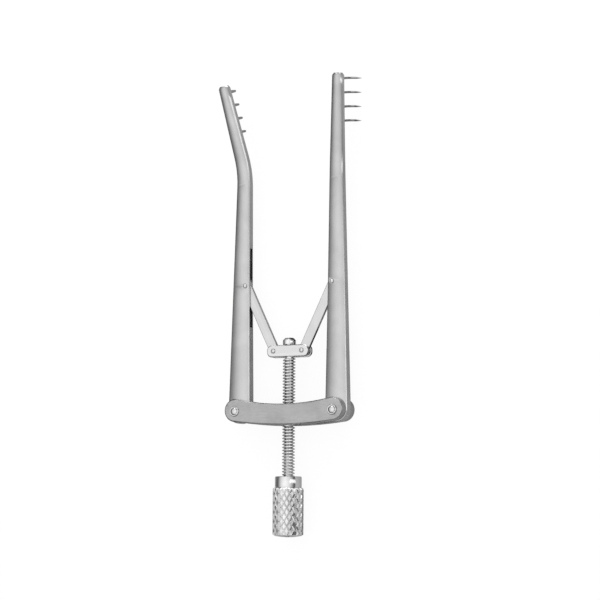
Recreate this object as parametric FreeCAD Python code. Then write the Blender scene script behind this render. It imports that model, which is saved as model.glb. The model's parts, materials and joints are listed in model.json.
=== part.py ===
import FreeCAD, Part
import math
import os
from FreeCAD import Placement, Rotation, Vector

# A small self retaining retractor, lying flat as it does on a tray. X runs across it, Y runs along it
# from the thumb knob to the tips, and Z is up. The origin is under the middle of the crossbar, on the
# flat face that the instrument rests on, straight below the axis of the screw. Sizes are in millimetres.
# The arms hang on two rivets in the crossbar. The screw turns in the yoke and runs through a nut block
# in the crossbar, so turning it drives the yoke, whose two links swing the arms apart.

# Crossbar
PIVOT_SPACING = 23.24
PLATE_THICKNESS = 2.0
PLATE_GAP = 2.7
PLATE_END_RADIUS = 2.5
PLATE_END_RISE = 0.2
PLATE_MIDDLE_WIDTH = 4.55
PLATE_SAG = 0.8
PLATE_EDGE_BEVEL = 0.18

# Nut block, let into a pocket in each plate
NUT_LENGTH = 7.0
NUT_DEPTH = 3.3
NUT_POCKET = 0.7

# Arms, measured along the centre line from the pivot; the lean is outward of Y, in degrees
ARM_LEAN = -0.4
ARM_ROOT_WIDTH = 5.09
ARM_LINK_WIDTH = 3.84
ARM_BEND_WIDTH = 3.1
ARM_TIP_WIDTH = 2.4
ARM_ROOT_THICKNESS = 2.4
ARM_LINK_THICKNESS = 2.19
ARM_TIP_THICKNESS = 2.1
ARM_EDGE_BEVEL = 0.2
ARM_TIP_BEVEL = 0.55
ARM_TIP_TAPER = 0.5
BEND_ALONG = 53.6
BEND_RADIUS = 20.0
BEND_SECTIONS = 4
BEND_LIFT = 17.2
BEND_SPLAY = 8.46
DISTAL_LENGTH = 19.62

# Slot in the inner side of each arm, for the link
LINK_SEAT_ALONG = 27.75
LINK_SEAT_INSET = 0.945
SLOT_RADIUS = 3.0
SLOT_BELOW_SEAT = 6.1
SLOT_ABOVE_SEAT = 5.5
SLOT_SIDE_ROOM = 0.65

# Hooks, four along each arm, let into blind holes in its underside
HOOK_COUNT = 4
HOOK_ROOT_DIAMETER = 0.74
HOOK_DIAMETER = 0.54
HOOK_WIRE_SIDES = 8
HOOK_FROM_TIP = 1.4
HOOK_PITCH = 3.08
HOOK_OFFSET = -0.31
HOOK_DEPTH = 4.86
HOOK_CURL = 2.04
HOOK_POINT = 1.27
HOOK_POINT_DIAMETER = 0.1
HOOK_SEAT_DEPTH = 1.1

# Yoke and links
YOKE_LENGTH = 10.0
YOKE_HEIGHT = 2.65
YOKE_THICKNESS = 2.29
YOKE_CORNER = 1.15
YOKE_EDGE_BEVEL = 0.15
YOKE_PIVOT_SPACING = 6.8
LINK_LENGTH = 16.31
LINK_WIDTH = 2.2
LINK_THICKNESS = 0.9
LINK_EDGE_BEVEL = 0.12
LINK_SLOT_TRAVEL = 0.85
LINK_SLOT_SIDE = 0.3
LINK_END_WALL = 0.45

# Rivets
BAR_RIVET_DIAMETER = 1.5
BAR_RIVET_HEAD = 2.1
BAR_RIVET_SINK = 0.3
LINK_RIVET_DIAMETER = 0.9

# Screw, cap, knob and pin
SCREW_DIAMETER = 2.8
SCREW_LEAD_IN = 0.4
JOURNAL_DIAMETER = 1.44
CAP_DIAMETER = 2.84
CAP_HEIGHT = 1.45
CAP_CHAMFER = 0.5
STEM_DIAMETER = 2.3
STEM_DEPTH = 6.0
COLLAR_FACE_ALONG = -14.05
COLLAR_DIAMETER = 5.76
COLLAR_LENGTH = 2.3
COLLAR_CHAMFER = 0.25
KNOB_DIAMETER = 6.68
KNOB_LENGTH = 10.65
KNOB_CHAMFER = 0.4
KNOB_END_CROWN = 0.25
PIN_DIAMETER = 0.8
PIN_ANGLE = 39.0

# Clearances: per side
SEAT_CLEARANCE = 0.01
TURN_CLEARANCE = 0.03
THREAD_CLEARANCE = 0.05
SIDE_CLEARANCE = 0.08
LINK_END_ROOM = 0.25

PIVOT_X = PIVOT_SPACING / 2
YOKE_PIVOT_X = YOKE_PIVOT_SPACING / 2
MID_Z = PLATE_THICKNESS + PLATE_GAP / 2
TOP_Z = 2 * PLATE_THICKNESS + PLATE_GAP
AXIS_X = Vector(1, 0, 0)
AXIS_Y = Vector(0, 1, 0)
AXIS_Z = Vector(0, 0, 1)
SAME_PLACE = 1e-6


def rod(diameter, start, end):
    """Solid cylinder from one point to another."""
    axis = end - start
    return Part.makeCylinder(diameter / 2, axis.Length, start, axis)


def turned(profile, base, axis):
    """Solid turned from a profile of (radius, height) points about an axis through base."""
    points = [Vector(radius, 0, height) for radius, height in profile]
    face = Part.Face(Part.makePolygon(points + points[:1]))
    solid = face.revolve(Vector(), AXIS_Z, 360)
    solid.Placement = Placement(base, Rotation(AXIS_Z, axis))
    return solid


def moved(shape, x, y, z):
    """Copy of a shape moved by a distance."""
    copy = shape.copy()
    copy.translate(Vector(x, y, z))
    return copy


def mirrored(shape):
    """The same piece for the other side."""
    return shape.mirror(Vector(), AXIS_X)


def arm_seat():
    """Middle of the right arm's link rivet at rest, seen from above."""
    lean = math.radians(ARM_LEAN)
    x = PIVOT_X - LINK_SEAT_INSET * math.cos(lean) + LINK_SEAT_ALONG * math.sin(lean)
    y = LINK_SEAT_INSET * math.sin(lean) + LINK_SEAT_ALONG * math.cos(lean)
    return Vector(x, y, 0)


def yoke_along():
    """Where the yoke stands along Y, for its links to reach the leaning arms."""
    seat = arm_seat()
    return seat.y - math.sqrt(LINK_LENGTH ** 2 - (seat.x - YOKE_PIVOT_X) ** 2)


def link_slope():
    """Slope of the right link at rest, in degrees outward of Y."""
    seat = arm_seat()
    return math.degrees(math.asin((seat.x - YOKE_PIVOT_X) / LINK_LENGTH))


YOKE_ALONG = yoke_along()


def bar_corner(arc_centre, side, away):
    """Point where a long edge of the bar's outline runs smoothly into the round of one end."""
    round_centre = Vector(side * PIVOT_X, 0, 0)
    direction = (Vector(0, arc_centre, 0) - round_centre).normalize()
    return round_centre + direction * (PLATE_END_RADIUS * away)


def bar_outline():
    """Outline of the curved bar: two long arcs, tangent to the rounds just above the pivots."""
    drop = PLATE_SAG + PLATE_END_RISE
    upper_y = PLATE_MIDDLE_WIDTH / 2 - drop
    lower_y = -PLATE_MIDDLE_WIDTH / 2 - drop
    spread = PIVOT_X ** 2 - PLATE_END_RADIUS ** 2
    upper_radius = (spread + upper_y ** 2) / (2 * (PLATE_END_RADIUS - upper_y))
    lower_radius = (spread + lower_y ** 2) / (2 * (-lower_y - PLATE_END_RADIUS))
    edges = []
    for side in (1, -1):
        upper = bar_corner(upper_y + upper_radius, side, 1)
        lower = bar_corner(lower_y + lower_radius, side, -1)
        end = Vector(side * (PIVOT_X + PLATE_END_RADIUS), 0, 0)
        corners = (lower, upper) if side > 0 else (upper, lower)
        edges.append(Part.Arc(corners[0], end, corners[1]).toShape())
    right, left = edges
    top = Part.Arc(right.lastVertex().Point, Vector(0, upper_y, 0), left.firstVertex().Point).toShape()
    foot = Part.Arc(left.lastVertex().Point, Vector(0, lower_y, 0), right.firstVertex().Point).toShape()
    return moved(Part.Wire([right, top, left, foot]), 0, PLATE_END_RISE, 0)


def bevel_face_edges(solid, heights, bevel):
    """Bevel the edges that lie in the horizontal planes at the given heights."""
    edges = []
    for edge in solid.Edges:
        for height in heights:
            if all(math.isclose(vertex.Z, height, abs_tol=SAME_PLACE) for vertex in edge.Vertexes):
                edges.append(edge)
    return solid.makeChamfer(bevel, edges)


def crossbar_plate(base_z, outer_z):
    """One curved plate, with its outward edges bevelled, before its holes."""
    plate = Part.Face(bar_outline()).extrude(Vector(0, 0, PLATE_THICKNESS))
    plate.translate(Vector(0, 0, base_z))
    return bevel_face_edges(plate, [outer_z], PLATE_EDGE_BEVEL)


def bar_rivet(clearance=0.0):
    """Rivet that carries an arm, its sunk heads flush with the plates, or with a clearance its hole."""
    shank = BAR_RIVET_DIAMETER / 2 + clearance
    head = BAR_RIVET_HEAD / 2 + clearance
    bottom = [(0, 0), (head, 0), (shank, BAR_RIVET_SINK)]
    top = [(shank, TOP_Z - BAR_RIVET_SINK), (head, TOP_Z), (0, TOP_Z)]
    return turned(bottom + top, Vector(), AXIS_Z)


def nut_box(clearance):
    """Block between the plates, or with a clearance the pockets that take it."""
    length = NUT_LENGTH + 2 * clearance
    depth = NUT_DEPTH + 2 * clearance
    height = PLATE_GAP + 2 * NUT_POCKET + 2 * clearance
    corner = Vector(-length / 2, -PLATE_SAG - depth / 2, MID_Z - height / 2)
    return Part.makeBox(length, depth, height, corner)


def screw_way(diameter):
    """Bore along the screw's axis, right through the crossbar."""
    reach = PLATE_SAG + PLATE_MIDDLE_WIDTH
    return rod(diameter, Vector(0, -reach, MID_Z), Vector(0, reach, MID_Z))


def crossbar():
    """Front and rear plates, nut block and the two arm rivets."""
    hole = bar_rivet(SEAT_CLEARANCE)
    left_hole = moved(hole, -PIVOT_X, 0, 0)
    right_hole = moved(hole, PIVOT_X, 0, 0)
    way = screw_way(SCREW_DIAMETER + 2 * THREAD_CLEARANCE)
    cutters = [left_hole, right_hole, nut_box(SEAT_CLEARANCE), way]
    rear = crossbar_plate(0, 0).cut(cutters)
    front = crossbar_plate(PLATE_THICKNESS + PLATE_GAP, TOP_Z).cut(cutters)
    return {
        "rear_crossbar": rear,
        "front_crossbar": front,
        "nut_block": nut_box(0).cut(way),
        "crossbar_rivet_left": moved(bar_rivet(), -PIVOT_X, 0, 0),
        "crossbar_rivet_right": moved(bar_rivet(), PIVOT_X, 0, 0),
    }


class ArmLine:
    """Centre line of the right arm in its own frame: straight, one bend up and outward, straight."""

    def __init__(self):
        lift = math.radians(BEND_LIFT)
        splay = math.radians(BEND_SPLAY)
        flat = math.cos(lift)
        self.far = Vector(math.sin(splay) * flat, math.cos(splay) * flat, math.sin(lift))
        self.turn = AXIS_Y.getAngle(self.far)
        self.hinge = AXIS_Y.cross(self.far).normalize()
        self.side = self.hinge.cross(AXIS_Y)
        tangent = BEND_RADIUS * math.tan(self.turn / 2)
        self.bend_start = BEND_ALONG - tangent
        self.bend_end = self.bend_start + BEND_RADIUS * self.turn
        self.length = self.bend_end + DISTAL_LENGTH - tangent

    def placement(self, along):
        """Place and direction of the cross section at a distance along the line."""
        in_bend = min(max(along - self.bend_start, 0), self.bend_end - self.bend_start)
        angle = in_bend / BEND_RADIUS
        before = min(along, self.bend_start)
        after = max(along - self.bend_end, 0)
        forward = AXIS_Y * math.cos(angle) + self.side * math.sin(angle)
        arc = AXIS_Y * math.sin(angle) + self.side * (1 - math.cos(angle))
        place = AXIS_Y * before + arc * BEND_RADIUS + forward * after
        return Placement(place, Rotation(self.hinge, math.degrees(angle)))

    def size(self, along):
        """Width, thickness and corner bevel of the cross section at a distance along the line."""
        middle = (self.bend_start + self.bend_end) / 2
        if along <= LINK_SEAT_ALONG:
            share = along / LINK_SEAT_ALONG
            width = ARM_ROOT_WIDTH + (ARM_LINK_WIDTH - ARM_ROOT_WIDTH) * share
            thickness = ARM_ROOT_THICKNESS + (ARM_LINK_THICKNESS - ARM_ROOT_THICKNESS) * share
            return width, thickness, ARM_EDGE_BEVEL
        share = (along - LINK_SEAT_ALONG) / (self.length - LINK_SEAT_ALONG)
        thickness = ARM_LINK_THICKNESS + (ARM_TIP_THICKNESS - ARM_LINK_THICKNESS) * share
        bevel = ARM_EDGE_BEVEL + (ARM_TIP_BEVEL - ARM_EDGE_BEVEL) * share
        if along <= middle:
            share = (along - LINK_SEAT_ALONG) / (middle - LINK_SEAT_ALONG)
            width = ARM_LINK_WIDTH + (ARM_BEND_WIDTH - ARM_LINK_WIDTH) * share
        else:
            share = (along - middle) / (self.length - middle)
            width = ARM_BEND_WIDTH + (ARM_TIP_WIDTH - ARM_BEND_WIDTH) * share
        return width, thickness, bevel

    def section(self, along, shrink=0.0):
        """Wire of the bevelled cross section at a distance along the line."""
        width, thickness, bevel = self.size(along)
        wire = bevelled_section(width - shrink, thickness - shrink, bevel)
        wire.Placement = self.placement(along)
        return wire


def rounded_section(width, thickness, corner):
    """Rectangle with rounded corners in the plane of X and Z, round the origin."""
    half_x = width / 2
    half_z = thickness / 2
    slack = corner * (1 - math.sqrt(0.5))
    edges = []
    for sign_x, sign_z in ((1, 1), (-1, 1), (-1, -1), (1, -1)):
        on_side = Vector(sign_x * half_x, 0, sign_z * (half_z - corner))
        on_face = Vector(sign_x * (half_x - corner), 0, sign_z * half_z)
        middle = Vector(sign_x * (half_x - slack), 0, sign_z * (half_z - slack))
        ends = (on_side, on_face) if sign_x * sign_z > 0 else (on_face, on_side)
        if edges:
            edges.append(Part.makeLine(edges[-1].lastVertex().Point, ends[0]))
        edges.append(Part.Arc(ends[0], middle, ends[1]).toShape())
    edges.append(Part.makeLine(edges[-1].lastVertex().Point, edges[0].firstVertex().Point))
    return Part.Wire(edges)


def bevelled_section(width, thickness, bevel):
    """Rectangle with bevelled corners in the plane of X and Z, round the origin."""
    half_x = width / 2
    half_z = thickness / 2
    corners = []
    for sign_x, sign_z in ((1, 1), (-1, 1), (-1, -1), (1, -1)):
        on_side = Vector(sign_x * half_x, 0, sign_z * (half_z - bevel))
        on_face = Vector(sign_x * (half_x - bevel), 0, sign_z * half_z)
        corners += [on_side, on_face] if sign_x * sign_z > 0 else [on_face, on_side]
    return Part.makePolygon(corners + corners[:1])


def flat_sided(first, last):
    """Solid between two sections whose matching edges are parallel, with flat sides."""
    near = [vertex.Point for vertex in first.OrderedVertexes]
    far = [vertex.Point for vertex in last.OrderedVertexes]
    faces = [Part.Face(first), Part.Face(last)]
    for index, corner in enumerate(near):
        after = (index + 1) % len(near)
        side = [corner, near[after], far[after], far[index], corner]
        faces.append(Part.Face(Part.makePolygon(side)))
    return Part.makeSolid(Part.makeShell(faces))


def arm_root(line):
    """Rounded end of the arm, turned about the pivot from half of its first cross section."""
    width, thickness, bevel = line.size(0)
    half = Part.makeBox(width, width, width, Vector(0, -width / 2, -width / 2))
    face = Part.Face(bevelled_section(width, thickness, bevel)).common(half)
    return face.revolve(Vector(), AXIS_Z, -180)


def arm_blank(line):
    """The arm's bar: straight tapers, a smooth bend between them, and a bevelled tip."""
    step = (line.bend_end - line.bend_start) / BEND_SECTIONS
    bend = [line.section(line.bend_start + index * step) for index in range(BEND_SECTIONS + 1)]
    shoulder = line.length - ARM_TIP_TAPER
    spans = [
        flat_sided(line.section(0), line.section(LINK_SEAT_ALONG)),
        flat_sided(line.section(LINK_SEAT_ALONG), bend[0]),
        Part.makeLoft(bend, True, False),
        flat_sided(bend[-1], line.section(shoulder)),
        flat_sided(line.section(shoulder), line.section(line.length, ARM_TIP_TAPER)),
    ]
    return arm_root(line).fuse(spans)


def link_slot():
    """Cutter for the slot that takes the link: a cutter's sweep with a round run-out at each end."""
    width = LINK_THICKNESS + 2 * SIDE_CLEARANCE
    floor = -LINK_SEAT_INSET + LINK_WIDTH / 2 + SLOT_SIDE_ROOM
    start = LINK_SEAT_ALONG - SLOT_BELOW_SEAT
    end = LINK_SEAT_ALONG + SLOT_ABOVE_SEAT
    centre_x = floor - SLOT_RADIUS
    lower = Part.makeCylinder(SLOT_RADIUS, width, Vector(centre_x, start, -width / 2))
    upper = Part.makeCylinder(SLOT_RADIUS, width, Vector(centre_x, end, -width / 2))
    between = Part.makeBox(SLOT_RADIUS, end - start, width, Vector(centre_x, start, -width / 2))
    return lower.fuse([upper, between])


def link_rivet(length, clearance=0.0):
    """Small flush rivet centred on its own height, or with a clearance the hole for it."""
    diameter = LINK_RIVET_DIAMETER + 2 * clearance
    return rod(diameter, Vector(0, 0, -length / 2), Vector(0, 0, length / 2))


def wire_section(diameter, centre):
    """Eight-sided section of the hook wire, across Z, with its corners on the wire's circle."""
    corners = []
    for index in range(HOOK_WIRE_SIDES):
        angle = math.tau * (index + 0.5) / HOOK_WIRE_SIDES
        corners.append(centre + Vector(math.cos(angle), math.sin(angle), 0) * (diameter / 2))
    return Part.makePolygon(corners + corners[:1])


def hook(underside):
    """One hook in its own frame: tapering straight down, then curled outward to a point."""
    root = Vector(0, 0, HOOK_SEAT_DEPTH - underside)
    mouth = Vector(0, 0, -underside)
    curl_start = Vector(0, 0, HOOK_CURL - HOOK_DEPTH - underside)
    centre = curl_start + AXIS_X * HOOK_CURL
    seated = Part.Face(wire_section(HOOK_ROOT_DIAMETER, root)).extrude(mouth - root)
    shank = flat_sided(wire_section(HOOK_ROOT_DIAMETER, mouth), wire_section(HOOK_DIAMETER, curl_start))
    curl = Part.Face(wire_section(HOOK_DIAMETER, curl_start)).revolve(centre, AXIS_Y, -90)
    ends = [wire_section(HOOK_DIAMETER, curl_start), wire_section(HOOK_POINT_DIAMETER, curl_start)]
    for wire in ends:
        wire.rotate(centre, AXIS_Y, -90)
    ends[1].translate(AXIS_X * HOOK_POINT)
    return seated.fuse([shank, curl, flat_sided(ends[0], ends[1])])


def hook_hole(underside):
    """Cutter for the blind hole that takes the end of a hook."""
    diameter = HOOK_ROOT_DIAMETER + 2 * SEAT_CLEARANCE
    section = wire_section(diameter, Vector(0, 0, HOOK_SEAT_DEPTH - underside))
    return Part.Face(section).extrude(Vector(0, 0, -2 * underside))


def hook_placement(line, index):
    """Where a hook's frame sits on the arm, the first one nearest the tip."""
    along = line.length - HOOK_FROM_TIP - index * HOOK_PITCH
    place = line.placement(along)
    return along, place.multiply(Placement(Vector(HOOK_OFFSET, 0, 0), Rotation()))


def right_arm():
    """The right arm with its hooks and rivet, in place."""
    line = ArmLine()
    blank = arm_blank(line)
    pivot_length = 2 * ARM_ROOT_THICKNESS
    pivot_diameter = BAR_RIVET_DIAMETER + 2 * TURN_CLEARANCE
    pivot = rod(pivot_diameter, Vector(0, 0, -pivot_length / 2), Vector(0, 0, pivot_length / 2))
    seat = (-LINK_SEAT_INSET, LINK_SEAT_ALONG, 0)
    rivet_seat = moved(link_rivet(ARM_LINK_THICKNESS, SEAT_CLEARANCE), *seat)
    cutters = [pivot, link_slot(), rivet_seat]
    pieces = {"arm_rivet": moved(link_rivet(ARM_LINK_THICKNESS), *seat)}
    for index in range(HOOK_COUNT):
        along, place = hook_placement(line, index)
        underside = line.size(along)[1] / 2
        wire = hook(underside)
        wire.Placement = place
        pieces[f"hook_{index + 1}"] = wire
        hole = hook_hole(underside)
        hole.Placement = place
        cutters.append(hole)
    pieces["arm"] = blank.cut(cutters)
    stand = Placement(Vector(PIVOT_X, 0, MID_Z), Rotation(AXIS_Z, -ARM_LEAN))
    for shape in pieces.values():
        shape.Placement = stand.multiply(shape.Placement)
    return pieces


def rounded_bar(start, end, width, thickness):
    """Flat bar with round ends, from start to end along Y, centred on height zero."""
    half = width / 2
    right = Part.makeLine(Vector(half, start, 0), Vector(half, end, 0))
    top = Part.Arc(Vector(half, end, 0), Vector(0, end + half, 0), Vector(-half, end, 0)).toShape()
    left = Part.makeLine(Vector(-half, end, 0), Vector(-half, start, 0))
    foot = Part.Arc(Vector(-half, start, 0), Vector(0, start - half, 0), Vector(half, start, 0)).toShape()
    bar = Part.Face(Part.Wire([right, top, left, foot])).extrude(Vector(0, 0, thickness))
    bar.translate(Vector(0, 0, -thickness / 2))
    return bar


def right_link():
    """Link from the yoke to the right arm, with a round hole at the yoke and a long one at the arm."""
    bore = LINK_RIVET_DIAMETER + 2 * TURN_CLEARANCE
    slot_width = LINK_RIVET_DIAMETER + 2 * LINK_SLOT_SIDE
    slot_end = LINK_LENGTH + LINK_SLOT_TRAVEL
    bar_stop = slot_end + slot_width / 2 + LINK_END_WALL - LINK_WIDTH / 2
    bar = rounded_bar(0, bar_stop, LINK_WIDTH, LINK_THICKNESS)
    bar = bevel_face_edges(bar, [LINK_THICKNESS / 2, -LINK_THICKNESS / 2], LINK_EDGE_BEVEL)
    hole = rod(bore, Vector(0, 0, -LINK_THICKNESS), Vector(0, 0, LINK_THICKNESS))
    slot = rounded_bar(LINK_LENGTH, slot_end, slot_width, 2 * LINK_THICKNESS)
    link = bar.cut([hole, slot])
    link.Placement = Placement(Vector(YOKE_PIVOT_X, YOKE_ALONG, MID_Z), Rotation(AXIS_Z, -link_slope()))
    return link


def yoke():
    """Travelling block, forked at both ends for the links and bored for the screw's journal."""
    outline = rounded_section(YOKE_LENGTH, YOKE_HEIGHT, YOKE_CORNER)
    block = Part.Face(outline).extrude(AXIS_Y * YOKE_THICKNESS)
    block.translate(AXIS_Y * (-YOKE_THICKNESS / 2))
    block.rotate(Vector(), AXIS_X, 90)
    block = bevel_face_edges(block, [YOKE_THICKNESS / 2, -YOKE_THICKNESS / 2], YOKE_EDGE_BEVEL)
    fork_gap = LINK_THICKNESS + 2 * SIDE_CLEARANCE
    fork_start = YOKE_PIVOT_X - LINK_WIDTH / 2 - LINK_END_ROOM
    fork = Part.makeBox(YOKE_LENGTH, 2 * YOKE_HEIGHT, fork_gap, Vector(fork_start, -YOKE_HEIGHT, -fork_gap / 2))
    bore = rod(JOURNAL_DIAMETER + 2 * TURN_CLEARANCE, Vector(0, -YOKE_HEIGHT, 0), Vector(0, YOKE_HEIGHT, 0))
    seat = moved(link_rivet(YOKE_THICKNESS, SEAT_CLEARANCE), YOKE_PIVOT_X, 0, 0)
    block = block.cut([fork, mirrored(fork), bore, seat, mirrored(seat)])
    return moved(block, 0, YOKE_ALONG, MID_Z)


def lead_screw():
    """Screw: a threaded rod that turns in the yoke on its journal and ends in a stem in the knob."""
    shoulder = YOKE_ALONG - YOKE_HEIGHT / 2 - SIDE_CLEARANCE
    cap_top = YOKE_ALONG + YOKE_HEIGHT / 2 + SIDE_CLEARANCE + CAP_HEIGHT
    radius = SCREW_DIAMETER / 2
    profile = [
        (0, COLLAR_FACE_ALONG - STEM_DEPTH),
        (STEM_DIAMETER / 2, COLLAR_FACE_ALONG - STEM_DEPTH),
        (STEM_DIAMETER / 2, COLLAR_FACE_ALONG),
        (radius, COLLAR_FACE_ALONG),
        (radius, shoulder - SCREW_LEAD_IN),
        (radius - SCREW_LEAD_IN, shoulder),
        (JOURNAL_DIAMETER / 2, shoulder),
        (JOURNAL_DIAMETER / 2, cap_top),
        (0, cap_top),
    ]
    return turned(profile, Vector(0, 0, MID_Z), AXIS_Y)


def screw_cap():
    """Button on the end of the journal, which keeps the yoke on the screw."""
    base = YOKE_ALONG + YOKE_HEIGHT / 2 + SIDE_CLEARANCE
    bore = JOURNAL_DIAMETER / 2 + SEAT_CLEARANCE
    radius = CAP_DIAMETER / 2
    profile = [
        (bore, 0),
        (radius, 0),
        (radius, CAP_HEIGHT - CAP_CHAMFER),
        (radius - CAP_CHAMFER, CAP_HEIGHT),
        (bore, CAP_HEIGHT),
    ]
    return turned(profile, Vector(0, base, MID_Z), AXIS_Y)


def thumb_knob():
    """Knob: a smooth collar and a grip with bevelled edges and a slightly crowned end."""
    bore = STEM_DIAMETER / 2 + SEAT_CLEARANCE
    collar = COLLAR_DIAMETER / 2
    grip = KNOB_DIAMETER / 2
    grip_end = COLLAR_LENGTH + KNOB_LENGTH
    profile = [
        (bore, 0),
        (collar - COLLAR_CHAMFER, 0),
        (collar, COLLAR_CHAMFER),
        (collar, COLLAR_LENGTH),
        (grip - KNOB_CHAMFER, COLLAR_LENGTH),
        (grip, COLLAR_LENGTH + KNOB_CHAMFER),
        (grip, grip_end - KNOB_CHAMFER),
        (grip - KNOB_CHAMFER, grip_end - KNOB_END_CROWN),
        (0, grip_end),
        (0, STEM_DEPTH + SEAT_CLEARANCE),
        (bore, STEM_DEPTH + SEAT_CLEARANCE),
    ]
    return turned(profile, Vector(0, COLLAR_FACE_ALONG, MID_Z), -AXIS_Y)


def pin_rod(diameter, reach):
    """Cross rod through the middle of the collar, reaching as far to either side of the axis."""
    angle = math.radians(PIN_ANGLE)
    half = Vector(math.sin(angle), 0, math.cos(angle)) * reach
    centre = Vector(0, COLLAR_FACE_ALONG - COLLAR_LENGTH / 2, MID_Z)
    return rod(diameter, centre - half, centre + half)


def knob_pin():
    """Pin that holds the knob on the stem, its rims level with the collar."""
    return pin_rod(PIN_DIAMETER, math.sqrt(COLLAR_DIAMETER ** 2 - PIN_DIAMETER ** 2) / 2)


def thumbscrew():
    """Screw, cap, knob and the pin that holds the knob."""
    hole = pin_rod(PIN_DIAMETER + 2 * SEAT_CLEARANCE, COLLAR_DIAMETER)
    return {
        "lead_screw": lead_screw().cut(hole),
        "screw_cap": screw_cap(),
        "thumb_knob": thumb_knob().cut(hole),
        "knob_pin": knob_pin(),
    }


def whole_retractor():
    """Every piece by its name."""
    pieces = crossbar()
    for name, shape in right_arm().items():
        parts = name.split("_")
        if name == "arm_rivet":
            pieces["arm_rivet_right"] = shape
            pieces["arm_rivet_left"] = mirrored(shape)
        else:
            pieces["_".join(["right"] + parts)] = shape
            pieces["_".join(["left"] + parts)] = mirrored(shape)
    link = right_link()
    pieces["right_link"] = link
    pieces["left_link"] = mirrored(link)
    pieces["yoke"] = yoke()
    yoke_rivet = moved(link_rivet(YOKE_THICKNESS), YOKE_PIVOT_X, YOKE_ALONG, MID_Z)
    pieces["yoke_rivet_right"] = yoke_rivet
    pieces["yoke_rivet_left"] = mirrored(yoke_rivet)
    pieces.update(thumbscrew())
    return pieces


def main():
    """Build every piece and write it as a STEP file."""
    os.makedirs("parts", exist_ok=True)
    for name, shape in whole_retractor().items():
        box = shape.BoundBox
        print(f"{name:22s} solids {len(shape.Solids)} valid {shape.isValid()} volume {shape.Volume:8.3f}",
              f"z {box.ZMin:7.3f} {box.ZMax:7.3f}")
        shape.exportStep(f"parts/{name}.step")
    print(f"yoke along {YOKE_ALONG:.3f}, link slope {link_slope():.3f}")


main()
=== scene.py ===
import json
import logging
import math
from contextlib import contextmanager
from dataclasses import dataclass, field
from enum import Enum
from typing import Callable, Iterator, Sequence

import bmesh
import bpy
from mathutils import Matrix, Vector


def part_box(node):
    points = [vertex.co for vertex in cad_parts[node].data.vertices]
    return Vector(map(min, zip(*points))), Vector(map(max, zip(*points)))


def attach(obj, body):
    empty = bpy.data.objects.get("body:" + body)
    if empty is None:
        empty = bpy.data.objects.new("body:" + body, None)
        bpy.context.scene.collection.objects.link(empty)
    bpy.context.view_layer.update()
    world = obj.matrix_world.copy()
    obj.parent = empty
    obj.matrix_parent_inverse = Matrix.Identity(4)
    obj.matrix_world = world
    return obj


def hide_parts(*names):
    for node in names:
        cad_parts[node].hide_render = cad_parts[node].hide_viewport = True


# Looks of a small self retaining retractor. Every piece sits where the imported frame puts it. The screw
# gets its thread, the knob its knurl, the hooks their round wire and the rivets their peened heads. Copies
# of the flat pieces get softened edges, and the arms are shaded as if slightly crowned. All in metres.

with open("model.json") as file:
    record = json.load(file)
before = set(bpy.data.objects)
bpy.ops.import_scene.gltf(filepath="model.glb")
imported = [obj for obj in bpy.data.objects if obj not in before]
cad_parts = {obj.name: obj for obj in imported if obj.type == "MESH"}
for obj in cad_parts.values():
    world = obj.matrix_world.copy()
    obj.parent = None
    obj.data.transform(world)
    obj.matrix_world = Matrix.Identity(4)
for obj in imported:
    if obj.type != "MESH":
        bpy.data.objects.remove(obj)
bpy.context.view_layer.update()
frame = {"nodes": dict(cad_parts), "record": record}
LOG = logging.getLogger("retractor")
MM = 0.001
IMAGE_SIDE = 600
SIDES = ("left", "right")
WELD = 0.001 * MM
CHAMFER_REACH = 1.0 * MM

# Turns from face to face, in degrees, and shares of a face's normal along Z.
FLAT_TURN = 0.8
BEVEL_TURN = 24.0
SMOOTH_TURN = 50.0
UPRIGHT = 0.35
SIDEWAYS = 0.5
UPWARD = 0.85
ENDWAYS = 0.9

BEVEL_FACES = 2
NORMAL_WEIGHT = 100
FaceTest = Callable[[Vector], bool]


class Grain(Enum):
    """Which way the fine marks of a finish run."""

    ALONG = "along"
    ACROSS = "across"
    ROUND = "round"


@dataclass(frozen=True)
class Station:
    """One ring of a turned piece: how far along the axis it stands, and its radius."""

    along: float
    radius: float


def only(piece: bpy.types.Object) -> None:
    """Selects one object alone and makes it the active one."""
    bpy.ops.object.select_all(action="DESELECT")
    piece.select_set(True)
    bpy.context.view_layer.objects.active = piece


@contextmanager
def editing(piece: bpy.types.Object) -> Iterator[None]:
    """Holds one object in edit mode for the length of a with block."""
    only(piece)
    bpy.ops.object.mode_set(mode="EDIT")
    bpy.ops.mesh.select_mode(type="VERT")
    try:
        yield
    finally:
        bpy.ops.object.mode_set(mode="OBJECT")


def pick_faces(piece: bpy.types.Object, test: FaceTest) -> None:
    """Selects the faces of the object in edit mode whose normal passes a test.

    Args:
        piece: The mesh object in edit mode.
        test: Takes a face's normal, and says whether the face is wanted.
    """
    bpy.ops.mesh.select_all(action="DESELECT")
    bpy.ops.mesh.select_mode(type="FACE")
    mesh = bmesh.from_edit_mesh(piece.data)
    for face in mesh.faces:
        face.select_set(test(face.normal))
    bmesh.update_edit_mesh(piece.data)


def added(name: str) -> bpy.types.Object:
    """Names the object that was just made."""
    piece = bpy.context.active_object
    piece.name = name
    piece.data.name = name
    return piece


def placed(name: str, data: bpy.types.ID) -> bpy.types.Object:
    """Makes an object of a mesh, lamp or camera and puts it in the scene."""
    thing = bpy.data.objects.new(name, data)
    bpy.context.scene.collection.objects.link(thing)
    return thing


def face_outward() -> None:
    """Turns every face of the object in edit mode outward."""
    bpy.ops.mesh.select_all(action="SELECT")
    bpy.ops.mesh.normals_make_consistent(inside=False)


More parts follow.
